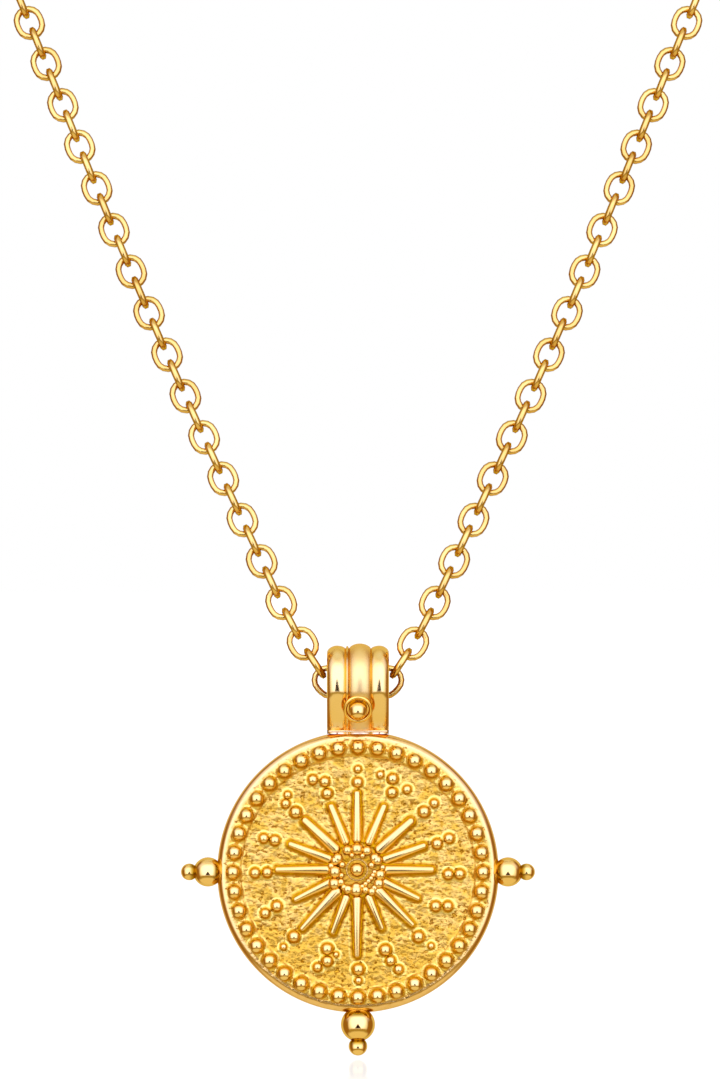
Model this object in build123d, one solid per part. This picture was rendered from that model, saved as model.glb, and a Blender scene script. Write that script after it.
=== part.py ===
from build123d import *
import math
import os

# A round cast medallion that hangs by a ribbed bail from a cable chain, as worn round a neck.
# Millimetres, Z up. The medallion faces -Y and the origin is at the nape, in the clasp.

os.makedirs("parts", exist_ok=True)

# Cast disc, lying face up on a bench: its centre at zero, its face towards +Z
disc_diameter = 22.0
back_depth = 0.70
field_height = 0.50
bead_seat_height = 0.63
field_inset = 1.95
field_step = 0.08
edge_round = 0.30
shoulder_round = 0.78

# Ring of border beads
border_bead_count = 40
border_bead_diameter = 1.13
border_inset = 1.23
border_bead_lift = 0.12

# Sixteen-ray star
ray_reach_share = 0.696
ray_from_boss = 0.10
ray_gap = 0.06
ray_tip_width = 0.82
ray_sink = 0.06
star_centre_up = 0.10

# Rosette in the middle of the star
boss_diameter = 4.5
boss_rise = 0.22
rosette_bead_diameter = 0.66
rosette_inset = 0.55
centre_ball_diameter = 1.00
centre_ring_diameter = 1.90
centre_ring_wire = 0.32

# Granules on the field
granule_diameter = 0.94
granule_lift = 0.10

# Ball nubs on the rim
side_ball_diameter = 2.30
side_tip_diameter = 1.32
bottom_ball_diameter = 2.68
bottom_tip_diameter = 1.46
nub_sink = 0.43
tip_sink = 0.20

# Cable chain
link_length = 2.84
link_width = 2.43
link_wire = 0.46
link_slack = 0.12

# Ribbed bail
hinge_above_rim = 3.45
bail_past_seat = 0.11
bail_wall = 0.80
bail_crown = 1.20
groove_depth = 0.18
rib_edge_drop = 0.36
crease_drop = 0.60
foot_depth = 1.80
foot_height = 0.09
foot_sink = 0.55
floor_height = 0.30
floor_dip = 0.18
seat_gap = 0.30
swing_gap = 0.20
seat_plate_side = 0.12
seat_plate_lip = 0.08
seat_plate_height = 0.24

# Bead in its wire collar, low on the front of the bail
collar_above_foot = 1.57
collar_tilt = 22.0
collar_diameter = 2.21
collar_wire = 0.28
collar_rise = 0.12
collar_root = 0.60
bail_bead_diameter = 1.33
bail_bead_lift = 0.28

# End rings and spring-ring clasp
ring_diameter = 3.20
ring_wire = 0.50
clasp_diameter = 5.70
clasp_wire = 1.10
clasp_eye_diameter = 2.30
clasp_eye_wire = 0.50
clasp_eye_sink = 0.35
sleeve_wall = 0.17
sleeve_length = 1.80
knob_diameter = 0.80
knob_height = 0.60
knob_angle = 50.0

# Relief tables: angles are clockwise from the top, lengths are shares of the sizes above
# Ray columns: angle, share of the rays' reach
rays = [
    (0.0, 0.99), (23.2, 0.89), (48.0, 0.95), (70.3, 0.92),
    (90.0, 0.97), (115.3, 0.87), (134.8, 1.00), (157.1, 0.82),
    (180.0, 1.10), (201.1, 0.87), (222.9, 1.035), (244.1, 0.88),
    (270.0, 1.017), (290.9, 0.924), (313.3, 0.94), (337.7, 0.89),
]
# Rosette columns: angle, share of the wreath's radius
rosette_beads = [
    (0.0, 0.94), (27.3, 0.95), (61.4, 0.98), (102.3, 1.06), (126.0, 1.10), (150.8, 1.12),
    (180.0, 0.96), (207.0, 1.04), (234.0, 1.10), (264.6, 1.02), (297.0, 1.03), (333.0, 1.00),
]
# Granule columns: angle, share of the border ring's radius, share of granule_diameter
granules = [
    (12.9, 0.800, 0.67), (20.4, 0.797, 0.96), (23.1, 0.693, 0.96), (30.7, 0.769, 0.79),
    (47.6, 0.716, 1.04), (47.9, 0.822, 0.79),
    (69.6, 0.777, 0.92), (70.3, 0.673, 0.96),
    (91.0, 0.813, 0.92), (91.4, 0.722, 0.92),
    (110.7, 0.768, 0.92), (113.6, 0.678, 0.96),
    (135.2, 0.830, 0.58), (136.8, 0.707, 1.04),
    (157.3, 0.841, 0.83), (159.8, 0.753, 0.88), (160.6, 0.659, 1.04),
    (179.7, 0.776, 1.04), (179.7, 0.865, 0.62),
    (194.9, 0.681, 0.50), (199.0, 0.751, 0.96), (201.8, 0.660, 1.04), (203.0, 0.824, 0.79),
    (224.8, 0.725, 1.04), (224.9, 0.842, 0.58),
    (246.1, 0.810, 0.88), (247.3, 0.702, 0.96),
    (269.6, 0.822, 0.92), (269.9, 0.725, 0.92),
    (289.8, 0.800, 0.88), (291.0, 0.711, 0.96),
    (313.5, 0.796, 0.83), (313.9, 0.691, 1.04), (317.7, 0.835, 0.71),
    (334.0, 0.823, 0.92), (338.7, 0.675, 0.96), (339.9, 0.770, 0.92),
    (359.9, 0.719, 0.92), (359.9, 0.824, 0.67),
]
# Rib columns: left and right edge as shares of half the bail's width, lift of the crest
ribs = [(-1.0, -0.40, 0.0), (-0.40, 0.40, 0.20), (0.40, 1.0, 0.0)]
# Where the chain sits: right and up of the hinge as shares of the pitch, then lean and roll
hidden_right, hidden_up, hidden_lean, hidden_roll = 0.430, -0.197, 19.5, 59.0
mouth_right, mouth_up, mouth_lean = 1.284, 0.212, 46.0
# Worn loop: from the hinge sideways to the widest point, back and up to the nape
loop_half_width = 52.6
nape_back = 104.0
nape_height = 121.0
# Chain route on the +X side, columns: sideways, back and up as shares of those three
chain_route = [
    (0.0814, 0.0014, 0.0276), (0.1426, 0.0091, 0.0806), (0.2300, 0.0240, 0.1620),
    (0.3422, 0.0462, 0.2727), (0.4981, 0.0808, 0.4372), (0.6711, 0.1548, 0.6050),
    (0.8593, 0.2904, 0.7504), (0.9905, 0.4712, 0.8636), (1.0000, 0.6587, 0.9298),
    (0.8422, 0.8327, 0.9694), (0.5513, 0.9481, 0.9934), (0.2852, 0.9933, 1.0000),
]
# Share of the route at which the flat links start to turn from the viewer round the neck
facing_start = 0.26

# Worked-out sizes
disc_radius = disc_diameter / 2
field_radius = disc_radius - field_inset
border_radius = disc_radius - border_inset
boss_radius = boss_diameter / 2
wreath_radius = boss_radius - rosette_inset
ray_reach = ray_reach_share * field_radius
ray_start = boss_radius + ray_from_boss
closest_rays = min(math.radians(late[0] - early[0]) for early, late in zip(rays, rays[1:]))
ray_root_width = ray_start * closest_rays - ray_gap
pitch = link_length - 2 * link_wire - link_slack
link_bend = (link_width - link_wire) / 2
link_straight = link_length - link_width
chain_reach = (
    mouth_up * pitch
    + link_straight / 2 * math.sin(math.radians(mouth_lean))
    + link_width / 2
)
bail_width = 2 * (mouth_right * pitch + bail_past_seat)
hinge_height = disc_radius + hinge_above_rim
hollow_radius = chain_reach + swing_gap
hollow_top = hinge_height + chain_reach + seat_gap
bail_radius = hollow_radius + bail_wall
arch_height = hollow_top + bail_crown - bail_radius
crease_height = hinge_height - crease_drop
foot_level = disc_radius + foot_height
collar_height = foot_level + collar_above_foot
ring_bend = (ring_diameter - ring_wire) / 2
clasp_bend = (clasp_diameter - clasp_wire) / 2
eye_bend = (clasp_eye_diameter - clasp_eye_wire) / 2
link_to_ring = (link_length - link_wire) / 2 + ring_bend - (link_wire + ring_wire) / 2 - link_slack
ring_to_eye = ring_bend + eye_bend - (ring_wire + clasp_eye_wire) / 2 - link_slack
eye_to_clasp = (clasp_eye_diameter + clasp_diameter) / 2 - clasp_eye_sink
clasp_to_ring = clasp_bend + ring_bend - (clasp_wire + ring_wire) / 2 - link_slack
clasp_span = ring_to_eye + eye_to_clasp + clasp_to_ring
nape = Vector(0, nape_back, nape_height)


def around(angle, radius, height, centre_up=0.0):
    """Point on the face: angle clockwise from the top, radius from the centre."""
    turn = math.radians(angle)
    return Vector(radius * math.sin(turn), centre_up + radius * math.cos(turn), height)


def ball(centre, diameter):
    """Sphere about a point."""
    return Pos(centre) * Sphere(diameter / 2)


def disc():
    """Turned blank: flat back, rounded edges, flat bead seat and sunk field."""
    shoulder = disc_radius - shoulder_round
    shoulder_foot = bead_seat_height - shoulder_round
    outline = [
        Line((0, -back_depth), (disc_radius - edge_round, -back_depth)),
        RadiusArc(
            (disc_radius - edge_round, -back_depth),
            (disc_radius, -back_depth + edge_round),
            -edge_round,
        ),
        Line((disc_radius, -back_depth + edge_round), (disc_radius, shoulder_foot)),
        RadiusArc((disc_radius, shoulder_foot), (shoulder, bead_seat_height), -shoulder_round),
        Line((shoulder, bead_seat_height), (field_radius + field_step, bead_seat_height)),
        Line((field_radius + field_step, bead_seat_height), (field_radius, field_height)),
        Line((field_radius, field_height), (0, field_height)),
        Line((0, field_height), (0, -back_depth)),
    ]
    profile = Plane.XZ * make_face(outline)
    return revolve(profile, Axis.Z)


def ray(angle, share):
    """One tapered half-round ray with a ball end, lying along the field."""
    length = ray_reach * share - ray_start - ray_tip_width / 2
    root = ray_root_width / 2
    tip = ray_tip_width / 2
    outline = [
        Line((0, 0), (root, 0)),
        Line((root, 0), (tip, length)),
        RadiusArc((tip, length), (0, length + tip), -tip),
        Line((0, length + tip), (0, 0)),
    ]
    spindle = revolve(Plane.XZ * make_face(outline), Axis.Z)
    start = around(angle, ray_start, field_height - ray_sink, star_centre_up)
    along = around(angle, 1, 0)
    return Plane(origin=start, x_dir=(0, 0, 1), z_dir=along).location * spindle


def rosette():
    """Boss with a ball in a wire ring, and a wreath of small beads round it."""
    top = field_height + boss_rise
    centre = Vector(0, star_centre_up, 0)
    base = -back_depth / 2
    boss = Pos(centre + Vector(0, 0, base)) * Cylinder(
        boss_radius, top - base, align=(Align.CENTER, Align.CENTER, Align.MIN)
    )
    ring_radius = (centre_ring_diameter - centre_ring_wire) / 2
    ring = Pos(centre + Vector(0, 0, top)) * Torus(ring_radius, centre_ring_wire / 2)
    middle = ball(centre + Vector(0, 0, top), centre_ball_diameter)
    wreath = [
        ball(
            around(angle, share * wreath_radius, top, star_centre_up),
            rosette_bead_diameter,
        )
        for angle, share in rosette_beads
    ]
    return [boss, ring, middle] + wreath


def border_beads():
    """Even ring of beads between the rim and the field."""
    height = bead_seat_height + border_bead_lift
    step = 360 / border_bead_count
    return [
        ball(around(step * k, border_radius, height), border_bead_diameter)
        for k in range(border_bead_count)
    ]


def field_granules():
    """Granules set in twos and threes beyond the tips of the rays."""
    return [
        ball(
            around(angle, out * border_radius, field_height + granule_lift * size),
            size * granule_diameter,
        )
        for angle, out, size in granules
    ]


def nubs():
    """Two-ball nubs at both sides and at the bottom of the rim."""
    made = []
    for angle, big, small in (
        (90, side_ball_diameter, side_tip_diameter),
        (270, side_ball_diameter, side_tip_diameter),
        (180, bottom_ball_diameter, bottom_tip_diameter),
    ):
        big_out = disc_radius + big / 2 - nub_sink
        small_out = big_out + (big + small) / 2 - tip_sink
        made.append(ball(around(angle, big_out, 0), big))
        made.append(ball(around(angle, small_out, 0), small))
    return made


def rib_drop(share):
    """How far a rib falls off at its edge: more at the bail's own edges than in a groove."""
    return rib_edge_drop if abs(share) == 1.0 else groove_depth


def rib_arcs(depth, side):
    """The three rib crests as arcs over the bail's width, depth out on one side."""
    half = bail_width / 2
    return [
        ThreePointArc(
            (left * half, side * (depth - rib_drop(left))),
            ((left + right) / 2 * half, side * (depth + lift)),
            (right * half, side * (depth - rib_drop(right))),
        )
        for left, right, lift in ribs
    ]


def rib_section(depth):
    """Level cut through the bail: three ribs in front, three behind, straight sides."""
    half = bail_width / 2
    edge = depth - rib_edge_drop
    sides = [Line((x, -edge), (x, edge)) for x in (-half, half)]
    return make_face(rib_arcs(depth, 1) + rib_arcs(depth, -1) + sides)


def level(height):
    """Plane across the bail at a height above the disc's centre, its y towards the face."""
    return Plane(origin=(0, height, 0), x_dir=(1, 0, 0), z_dir=(0, -1, 0))


def bail():
    """Ribbed loop: a round arch, short upright walls, and legs that lean in to the disc."""
    half = bail_width / 2
    edge = bail_radius - rib_edge_drop
    arch_sides = [Line((x, -edge), (x, 0)) for x in (-half, half)]
    arch_base = Line((-half, 0), (half, 0))
    arch_face = level(arch_height) * make_face(rib_arcs(bail_radius, -1) + arch_sides + [arch_base])
    arch_axis = Axis((0, arch_height, 0), (1, 0, 0))
    loop = revolve(arch_face, arch_axis, 180)
    upright = extrude(level(arch_height) * rib_section(bail_radius), arch_height - crease_height)
    foot = rib_section(foot_depth / 2)
    crease = rib_section(bail_radius)
    legs = loft([level(crease_height) * crease, level(foot_level) * foot], ruled=True)
    root = extrude(level(foot_level) * foot, foot_sink)
    plate = Pos(0, foot_level - seat_plate_height / 2, 0) * Box(
        bail_width - 2 * seat_plate_side, seat_plate_height, foot_depth + 2 * seat_plate_lip
    )
    collar_share = (collar_height - foot_level) / (crease_height - foot_level)
    collar_out = foot_depth / 2 + ribs[1][2] + collar_share * (bail_radius - foot_depth / 2)
    tilt = math.radians(collar_tilt)
    seat = Plane(
        origin=(0, collar_height, collar_out),
        x_dir=(1, 0, 0),
        z_dir=(0, -math.sin(tilt), math.cos(tilt)),
    ).location
    stub = seat * Pos(0, 0, -collar_root) * Cylinder(
        (collar_diameter - collar_wire) / 2,
        collar_root + collar_rise,
        align=(Align.CENTER, Align.CENTER, Align.MIN),
    )
    collar = seat * Pos(0, 0, collar_rise) * Torus(
        (collar_diameter - collar_wire) / 2, collar_wire / 2
    )
    bead = seat * Pos(0, 0, bail_bead_lift) * Sphere(bail_bead_diameter / 2)
    body = loop + upright + legs + root + plate + stub
    return (body - hollow()) + [collar, bead]


def hollow():
    """Teardrop way through the bail for the chain, clear of it at every swing."""
    centre = hollow_top - hollow_radius
    floor = foot_level + floor_height
    lean = (bail_radius - foot_depth / 2) / (crease_height - foot_level)
    floor_half = foot_depth / 2 + lean * floor_height - bail_wall
    outline = [
        ThreePointArc((-hollow_radius, centre), (0, hollow_top), (hollow_radius, centre)),
        Line((hollow_radius, centre), (hollow_radius, crease_height)),
        Line((hollow_radius, crease_height), (floor_half, floor)),
        ThreePointArc((floor_half, floor), (0, floor - floor_dip), (-floor_half, floor)),
        Line((-floor_half, floor), (-hollow_radius, crease_height)),
        Line((-hollow_radius, crease_height), (-hollow_radius, centre)),
    ]
    side_view = Plane(origin=(0, 0, 0), x_dir=(0, 0, 1), z_dir=(-1, 0, 0))
    return extrude(side_view * make_face(outline), bail_width, both=True)


def medallion():
    """The whole casting, fused, then stood up so that it faces -Y under its hinge."""
    relief = [ray(angle, share) for angle, share in rays]
    relief += rosette() + border_beads() + field_granules() + nubs()
    casting = disc() + relief + bail()
    return Pos(0, 0, -hinge_height) * Rot(90, 0, 0) * casting


def link():
    """One oval link of round wire, lying in XY with its length along X."""
    right_end = revolve(Plane.XZ * Pos(link_bend, 0, 0) * Circle(link_wire / 2), Axis.Z, 180)
    right_half = Pos(link_straight / 2, 0, 0) * Rot(0, 0, -90) * right_end
    left_half = Rot(0, 0, 180) * right_half
    bars = [
        Pos(0, side * link_bend, 0) * Rot(0, 90, 0) * Cylinder(link_wire / 2, link_straight)
        for side in (-1, 1)
    ]
    return right_half + left_half + bars


def placed(shape, centre, along, flat_normal, roll):
    """Copy of a link or ring: along is its run, roll turns it about that run."""
    run = Vector(*along).normalized()
    normal = Vector(*flat_normal)
    normal = (normal - run * normal.dot(run)).normalized()
    turned = normal.rotate(Axis((0, 0, 0), tuple(run)), roll)
    return Plane(origin=centre, x_dir=run, z_dir=turned).location * shape


def smooth(share):
    """Zero to one with level ends."""
    clipped = min(max(share, 0.0), 1.0)
    return clipped * clipped * (3 - 2 * clipped)


def mirrored(vector):
    """The same vector on the other side of the bail."""
    return Vector(-vector.X, vector.Y, vector.Z)


def chain_side():
    """Stations of one side: centre, run, flat normal and roll of each link, then the ring."""
    lean = math.radians(mouth_lean)
    start = Vector(mouth_right * pitch, 0, mouth_up * pitch)
    end = Vector(clasp_span / 2, nape_back, nape_height)
    between = [
        Vector(aside * loop_half_width, back * nape_back, up * nape_height)
        for aside, back, up in chain_route
    ]
    route = Spline([start] + between + [end])
    run_length = route.length - link_to_ring
    steps = 2 * round(run_length / pitch / 2)
    stations = []
    for k in range(steps + 2):
        distance = run_length * k / steps if k <= steps else route.length
        share = distance / route.length
        facing = math.pi * smooth((share - facing_start) / (1 - facing_start))
        centre = route.position_at(distance, position_mode=PositionMode.LENGTH)
        run = route.tangent_at(distance, position_mode=PositionMode.LENGTH)
        if k == 0:
            run = Vector(math.cos(lean), 0, math.sin(lean))
        if k > steps:
            run = Vector(-1, 0, 0)
        normal = Vector(math.sin(facing), -math.cos(facing), 0)
        stations.append((centre, run, normal, 90 * (k % 2)))
    return stations, run_length / steps, route.length


def seated_pair(shape):
    """The two links hidden in the bail, each the other turned half round the upright axis."""
    lean = math.radians(hidden_lean)
    pair = []
    for side in (1, -1):
        centre = Vector(side * hidden_right * pitch, 0, hidden_up * pitch)
        run = Vector(side * math.cos(lean), 0, math.sin(lean))
        pair.append(placed(shape, centre, run, Vector(0, -side, 0), hidden_roll))
    return pair


def clasp():
    """Plain spring-ring clasp in one piece, lying flat against the neck."""
    eye_x = -clasp_span / 2 + ring_to_eye
    ring_x = clasp_span / 2 - clasp_to_ring
    upright = Rot(90, 0, 0)
    hoop = Pos(ring_x, 0, 0) * upright * Torus(clasp_bend, clasp_wire / 2)
    eye = Pos(eye_x, 0, 0) * upright * Torus(eye_bend, clasp_eye_wire / 2)
    sleeve = Pos(ring_x - clasp_bend, 0, 0) * Cylinder(clasp_wire / 2 + sleeve_wall, sleeve_length)
    turn = math.radians(knob_angle)
    knob_out = clasp_bend + clasp_wire / 2
    knob = (
        Pos(ring_x + knob_out * math.cos(turn), 0, knob_out * math.sin(turn))
        * Rot(0, 90 - knob_angle, 0)
        * Cylinder(knob_diameter / 2, knob_height)
    )
    return Pos(nape) * (hoop + [eye, sleeve, knob])


def write(name, shape):
    """Move a piece from the hinge's frame to the nape's and write it."""
    moved = Pos(-nape) * shape
    moved.label = name
    export_step(moved, f"parts/{name}.step")
    print(name, "solids", len(moved.solids()), "volume", round(moved.volume, 2))


stations, spacing, side_length = chain_side()
one_link = link()
links = seated_pair(one_link)
for centre, run, normal, roll in stations[:-1]:
    links.append(placed(one_link, centre, run, normal, roll))
    links.append(placed(one_link, mirrored(centre), mirrored(run), mirrored(normal), -roll))

end_ring = Torus(ring_bend, ring_wire / 2)
centre, run, normal, roll = stations[-1]
write("medallion", medallion())
write("chain", Compound(links))
write("jump_ring_right", placed(end_ring, centre, run, normal, roll))
write("jump_ring_left", placed(end_ring, mirrored(centre), mirrored(run), mirrored(normal), -roll))
write("clasp", clasp())
seat_step = math.dist((hidden_right, hidden_up), (mouth_right, mouth_up))
loop_length = 2 * side_length + clasp_span + 2 * pitch * (hidden_right + seat_step)
print("links", len(links), "spacing", round(spacing, 3), "whole length", round(loop_length, 1))
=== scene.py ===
"""Looks of a cast gold medallion that hangs by a ribbed bail from a gold cable chain."""

import logging
import math
from collections.abc import Callable, Iterable
from dataclasses import dataclass
from enum import Enum

import bpy
import numpy as np
from mathutils import Matrix, Vector, noise


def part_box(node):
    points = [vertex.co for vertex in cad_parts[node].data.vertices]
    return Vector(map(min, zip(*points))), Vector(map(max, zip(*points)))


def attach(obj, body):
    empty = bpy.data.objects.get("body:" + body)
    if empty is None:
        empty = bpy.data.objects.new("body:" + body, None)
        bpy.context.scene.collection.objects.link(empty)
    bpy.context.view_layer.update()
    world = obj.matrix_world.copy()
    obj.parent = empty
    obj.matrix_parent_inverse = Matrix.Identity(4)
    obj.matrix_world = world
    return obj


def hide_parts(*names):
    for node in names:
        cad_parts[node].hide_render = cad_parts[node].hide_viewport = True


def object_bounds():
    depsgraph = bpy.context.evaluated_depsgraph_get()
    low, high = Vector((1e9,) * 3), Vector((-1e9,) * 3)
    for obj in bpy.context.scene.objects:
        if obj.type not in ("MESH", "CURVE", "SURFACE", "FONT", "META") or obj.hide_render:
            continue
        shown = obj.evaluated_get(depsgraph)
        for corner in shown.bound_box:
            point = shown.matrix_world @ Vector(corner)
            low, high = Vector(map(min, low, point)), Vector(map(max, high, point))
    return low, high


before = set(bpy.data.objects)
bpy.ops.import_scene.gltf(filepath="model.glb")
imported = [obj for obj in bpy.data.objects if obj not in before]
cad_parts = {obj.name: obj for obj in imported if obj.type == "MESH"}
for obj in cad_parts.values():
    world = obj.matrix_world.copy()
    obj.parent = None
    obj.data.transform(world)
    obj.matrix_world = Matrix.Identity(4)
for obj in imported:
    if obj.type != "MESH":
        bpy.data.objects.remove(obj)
CAD_LOW, CAD_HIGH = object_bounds()

LOG = logging.getLogger("medallion")
Piece = bpy.types.Object
Socket = bpy.types.NodeSocket
Tree = bpy.types.NodeTree
Colour = tuple[float, float, float, float]
Number = float | np.ndarray

MM = 0.001
FULL_TURN = 2 * math.pi
ORIGIN = (0.0, 0.0, 0.0)
UPRIGHT = Matrix.Rotation(math.radians(90), 4, "X")
# What the meshes tell their finishes: painted shade near a foot, painted light where that mark is
# below zero, and share of worked ground
PAINTED_LIGHT_MARK = "foot"
GROUND = "ground"
# Heights on a ball of radius one: its painted shade is full below the first, none over the second
BALL_PAINTED_SHADE = (0.12, 0.66)

# The bail's hinge in the row frame, and the disc's centre under it, in millimetres
HINGE = Vector((0.0, -104.0, -121.0))
DISC_DROP = 14.45

# The chain is modelled in millimetres in the row frame. The medallion is modelled in millimetres,
# face up on a bench: Z towards the viewer and Y towards the bail, from the disc's centre.
NAPE_TO_ROW = Matrix.Scale(MM, 4)
BENCH_TO_ROW = NAPE_TO_ROW @ Matrix.Translation(HINGE - Vector((0.0, 0.0, DISC_DROP))) @ UPRIGHT


class Body(Enum):
    """CAD body that a piece moves with."""

    NECKLACE = "necklace"
    PENDANT = "pendant"


class Slot(Enum):
    """Material slot of the record."""

    CAST = "cast_gold"
    CHAIN = "chain_gold"
    CLASP = "clasp_gold"


def start_clean(piece: Piece | None = None) -> None:
    """Leave edit mode and deselect everything.

    Args:
        piece: Object to select and make active afterwards, if any.
    """
    if bpy.context.object and bpy.context.object.mode != "OBJECT":
        bpy.ops.object.mode_set(mode="OBJECT")
    bpy.ops.object.select_all(action="DESELECT")
    if piece is not None:
        bpy.context.view_layer.objects.active = piece
        piece.select_set(True)


def named(name: str) -> Piece:
    """Name the object that an operator has just added, mesh included.

    Args:
        name: Plain name of the piece or pattern.

    Returns:
        The active object.
    """
    made = bpy.context.object
    made.name = made.data.name = name
    return made


def edit(
    piece: Piece,
    operator: Callable[..., set[str]],
    picked: Callable[[Vector], bool] | None = None,
    **settings: object,
) -> None:
    """Run one edit-mode operator on the vertices picked by their place.

    Args:
        piece: Mesh object to shape.
        operator: Operator from bpy.ops.mesh or bpy.ops.transform.
        picked: Test on a vertex's place; every vertex when left out.
        **settings: The operator's settings.
    """
    start_clean(piece)
    for part in (piece.data.vertices, piece.data.edges, piece.data.polygons):
        part.foreach_set("select", [False] * len(part))
    chosen = [picked is None or picked(v.co) for v in piece.data.vertices]
    piece.data.vertices.foreach_set("select", chosen)
    bpy.ops.object.mode_set(mode="EDIT")
    bpy.ops.mesh.select_mode(type="VERT")
    operator(**settings)
    bpy.ops.object.mode_set(mode="OBJECT")


def smooth(piece: Piece, angle: float) -> None:
    """Shade a piece smooth, with edges sharper than an angle in degrees kept."""
    start_clean(piece)
    bpy.ops.object.shade_smooth_by_angle(angle=math.radians(angle))


def close_up(piece: Piece) -> None:
    """Merge doubled vertices and turn every face outwards."""
    edit(piece, bpy.ops.mesh.remove_doubles, threshold=1e-4)
    edit(piece, bpy.ops.mesh.normals_make_consistent, inside=False)


def traced(name: str, points: list[tuple[float, float, float]]) -> Piece:
    """Draw a line of edges by extruding one vertex from point to point.

    Args:
        name: Name of the new mesh object.
        points: The line's corners.

    Returns:
        The line as a mesh object.
    """
    start_clean()
    bpy.ops.mesh.primitive_plane_add(size=1)
    line = named(name)
    bpy.ops.object.mode_set(mode="EDIT")
    bpy.ops.mesh.select_all(action="SELECT")
    bpy.ops.mesh.merge(type="CENTER")
    bpy.ops.transform.translate(value=points[0])
    for here, there in zip(points, points[1:]):
        step = [b - a for a, b in zip(here, there)]
        bpy.ops.mesh.extrude_region_move(TRANSFORM_OT_translate={"value": step})
    bpy.ops.object.mode_set(mode="OBJECT")
    return line


def turned(name: str, profile: list[tuple[float, float]], steps: int) -> Piece:
    """Spin a profile into a turned solid.

    Args:
        name: Name of the new mesh object.
        profile: Radius and height of each corner, from pole to pole.
        steps: Segments round the axis.

    Returns:
        The closed solid.
    """
    solid = traced(name, [(radius, 0.0, height) for radius, height in profile])
    edit(solid, bpy.ops.mesh.spin, steps=steps, angle=FULL_TURN, center=ORIGIN, axis=(0, 0, 1))
    close_up(solid)
    return solid


def torus(name: str, bend: float, wire_radius: float, steps: int, wire_steps: int) -> Piece:
    """Bend round wire into a ring that lies in XY.

    Args:
        name: Name of the new mesh object.
        bend: Radius of the wire's middle line.
        wire_radius: Radius of the wire.
        steps: Segments round the ring.
        wire_steps: Segments round the wire.

    Returns:
        The ring at the origin.
    """
    start_clean()
    bpy.ops.mesh.primitive_torus_add(
        major_segments=steps, minor_segments=wire_steps, major_radius=bend, minor_radius=wire_radius
    )
    return named(name)


def ball(name: str, segments: int, rings: int) -> Piece:
    """Make a ball of radius one whose poles lie along X, so that no pole faces the viewer.

    Args:
        name: Name of the pattern.
        segments: Segments round the axis.
        rings: Rings from pole to pole.

    Returns:
        The ball at the origin, with painted shade marked on its lower half.
    """
    start_clean()
    bpy.ops.mesh.primitive_uv_sphere_add(segments=segments, ring_count=rings, radius=1.0)
    made = named(name)
    quarter = {"value": math.radians(90), "orient_axis": "Y", "center_override": ORIGIN}
    edit(made, bpy.ops.transform.rotate, **quarter)
    mark_painted_light(made, lambda p: fall(p.z, *BALL_PAINTED_SHADE))
    return made


def arc(
    centre: tuple[float, float], radius: float, first: float, last: float, parts: int
) -> list[tuple[float, float]]:
    """Points on an arc, angles in degrees from the first axis.

    Args:
        centre: Centre of the arc.
        radius: Its radius.
        first: Angle of the first point.
        last: Angle of the last point.
        parts: Number of chords.

    Returns:
        The points, ends included.
    """
    turns = [math.radians(first + (last - first) * k / parts) for k in range(parts + 1)]
    return [(centre[0] + radius * math.cos(t), centre[1] + radius * math.sin(t)) for t in turns]


def around(angle: float, radius: float, height: float) -> Vector:
    """Point on the bench: angle clockwise from the top in degrees, radius and height."""
    turn = math.radians(angle)
    return Vector((radius * math.sin(turn), radius * math.cos(turn), height))


def at(x: float, y: float, z: float, size: float) -> Matrix:
    """Place of a copy: its centre and its size."""
    return Matrix.Translation((x, y, z)) @ Matrix.Scale(size, 4)


def fall(value: Number, near: float, far: float) -> Number:
    """One at near, falling smoothly to zero at far, for a number or an array of them."""
    share = np.clip((value - far) / (near - far), 0, 1)
    return share * share * (3 - 2 * share)


def vertex_places(mesh: bpy.types.Mesh) -> np.ndarray:
    """Read the places of a mesh's vertices.

    Args:
        mesh: Mesh to read.

    Returns:
        One row of X, Y and Z for each vertex.
    """
    co = np.empty(len(mesh.vertices) * 3)
    mesh.vertices.foreach_get("co", co)
    return co.reshape(-1, 3)


def store(mesh: bpy.types.Mesh, name: str, values: np.ndarray) -> None:
    """Store a number on each vertex, as the attribute of that name."""
    layer = mesh.attributes.get(name) or mesh.attributes.new(name, "FLOAT", "POINT")
    layer.data.foreach_set("value", values)


def mark_painted_light(piece: Piece, nearness: Callable[[Vector], float]) -> None:
    """Mark painted shade and painted light on a piece by the place.

    Args:
        piece: Mesh object.
        nearness: Function of a vertex's place: one for full painted shade where the piece runs into
            another, zero on open metal, less than zero for painted light.
    """
    store(piece.data, PAINTED_LIGHT_MARK, np.array([nearness(v.co) for v in piece.data.vertices]))


def gathered(name: str, pattern: Piece, places: Iterable[Matrix]) -> Piece:
    """Copy a pattern's mesh to each place, all in one new object.

    Args:
        name: Name of the new piece.
        pattern: Finished mesh object to copy, which is used up.
        places: Where each copy goes.

    Returns:
        One object that holds all copies.
    """
    source = pattern.data
    co = vertex_places(source)
    feet = np.zeros(len(co))
    if PAINTED_LIGHT_MARK in source.attributes:
        source.attributes[PAINTED_LIGHT_MARK].data.foreach_get("value", feet)
    faces = [tuple(face.vertices) for face in source.polygons]
    points: list[np.ndarray] = []
    polygons: list[tuple[int, ...]] = []
    for k, place in enumerate(places):
        points.append(co @ np.array(place.to_3x3()).T + np.array(place.translation))
        polygons.extend(tuple(v + k * len(co) for v in face) for face in faces)
    mesh = bpy.data.meshes.new(name)
    mesh.from_pydata(np.vstack(points).tolist(), [], polygons)
    store(mesh, PAINTED_LIGHT_MARK, np.tile(feet, len(points)))
    made = bpy.data.objects.new(name, mesh)
    bpy.context.collection.objects.link(made)
    bpy.data.objects.remove(pattern)
    return made


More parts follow.
